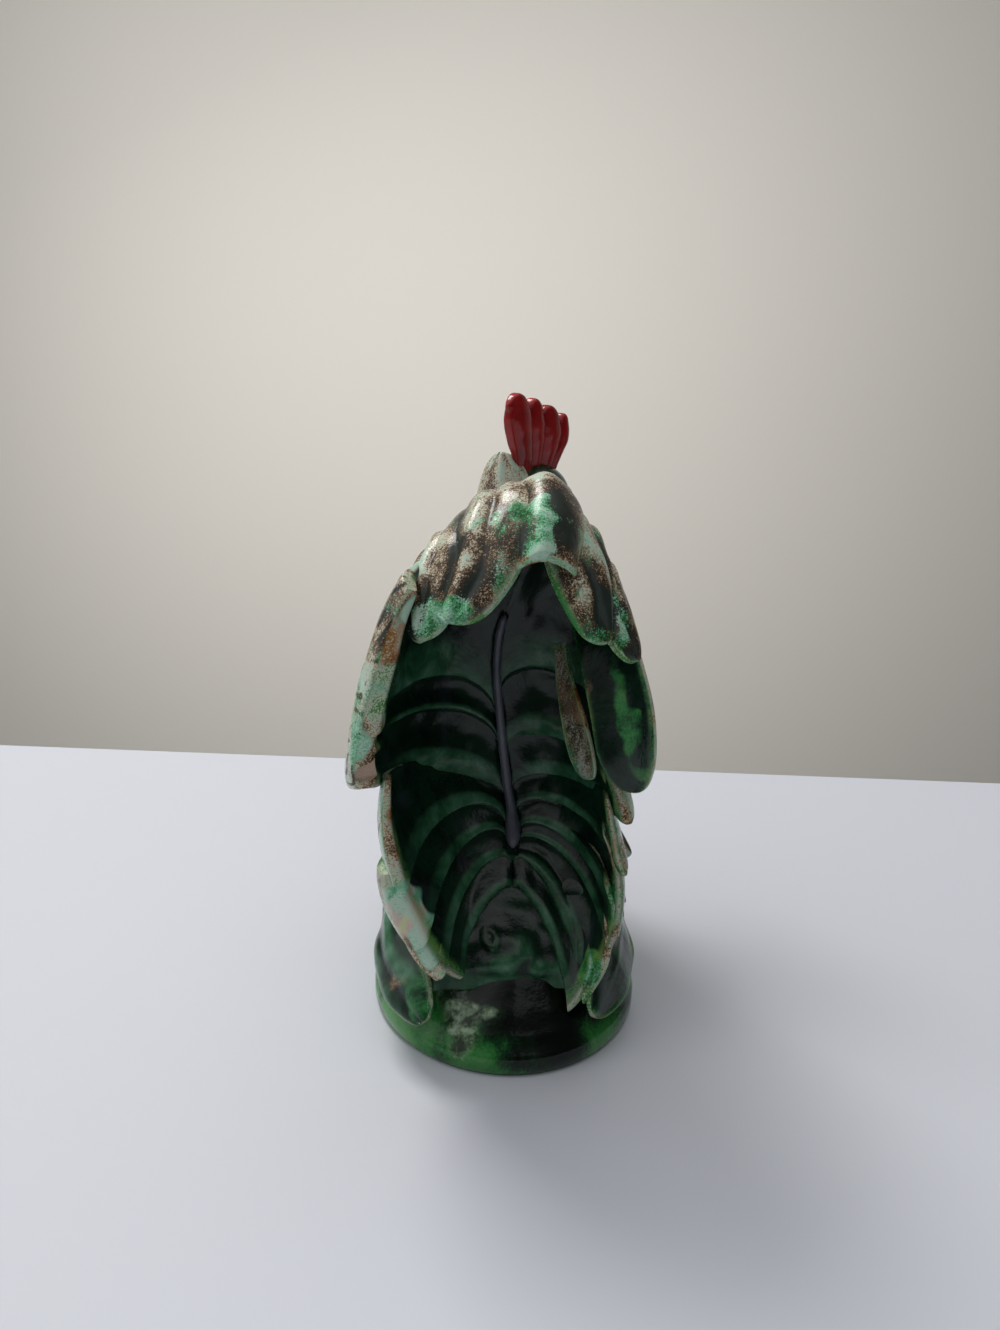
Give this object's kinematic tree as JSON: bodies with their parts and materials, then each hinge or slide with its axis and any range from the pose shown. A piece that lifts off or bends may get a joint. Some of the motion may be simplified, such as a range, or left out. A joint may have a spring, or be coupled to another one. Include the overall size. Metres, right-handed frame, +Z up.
{
  "type": "ceramic rooster figurine",
  "caption": "Free-standing glazed rooster on a round mound, with an open leaf-shaped hollow tail, a ribbed interior with a raised spine, a lobed comb, wings and feet.",
  "frame": {"origin": "middle of the whole object's box, on the plane that the mound stands on", "axes": "+Z up; the bird faces -Y, its left side is +X and its open tail faces +Y"},
  "size_m": [0.1114, 0.1724, 0.229],
  "materials": {
    "glaze_mottled": "glossy, brown, cream and green mottled",
    "glaze_green": "glossy, mottled green",
    "glaze_dark_green": "glossy, pooled dark green",
    "glaze_mint": "glossy, pale green breaking to cream",
    "glaze_cream": "glossy, cream with brown speckle",
    "glaze_rust": "glossy, reddish brown speckle",
    "glaze_red": "glossy deep red",
    "glaze_ochre": "glossy ochre",
    "glaze_black": "glossy black"
  },
  "bodies": {
    "root": {"base_mound": "glaze_green", "torso": "glaze_mottled", "tail_spine": "glaze_dark_green", "tail_crown_feather": "glaze_mottled", "tail_upper_left_inner": "glaze_mottled", "tail_upper_left_outer": "glaze_mottled", "tail_upper_right_inner": "glaze_mottled", "tail_upper_right_outer": "glaze_mottled", "tail_right_main_feather": "glaze_mint", "tail_right_inner_leaf": "glaze_mint", "rump": "glaze_dark_green", "tail_left_main_feather": "glaze_mint", "tail_left_feather_2": "glaze_dark_green", "tail_left_feather_3": "glaze_dark_green", "tail_left_feather_4": "glaze_dark_green", "tail_left_feather_5": "glaze_dark_green", "tail_right_feather_1": "glaze_dark_green", "tail_right_feather_2": "glaze_dark_green", "tail_right_feather_3": "glaze_mint", "tail_right_feather_4": "glaze_mottled", "tail_right_feather_5": "glaze_mottled", "tail_right_feather_6": "glaze_dark_green", "tail_right_feather_7": "glaze_mint", "head": "glaze_dark_green", "neck": "glaze_mottled", "hackle_back": "glaze_cream", "hackle_left": "glaze_cream", "hackle_right": "glaze_cream", "hackle_front": "glaze_cream", "comb": "glaze_red", "beak_upper": "glaze_ochre", "beak_lower": "glaze_ochre", "wattle_left": "glaze_red", "earlobe_left": "glaze_red", "eye_left": "glaze_black", "wing_shoulder_left": "glaze_rust", "wing_flight_upper_left": "glaze_rust", "wing_flight_middle_left": "glaze_rust", "wing_flight_lower_left": "glaze_rust", "saddle_upper_left": "glaze_mottled", "saddle_lower_left": "glaze_mottled", "thigh_left": "glaze_mottled", "foot_left": "glaze_ochre", "wattle_right": "glaze_red", "earlobe_right": "glaze_red", "eye_right": "glaze_black", "wing_shoulder_right": "glaze_rust", "wing_flight_upper_right": "glaze_rust", "wing_flight_middle_right": "glaze_rust", "wing_flight_lower_right": "glaze_rust", "saddle_upper_right": "glaze_mottled", "saddle_lower_right": "glaze_mottled", "thigh_right": "glaze_mottled", "foot_right": "glaze_ochre", "base_leaf_left": "glaze_green", "base_leaf_right": "glaze_green"}
  },
  "joints": []
}
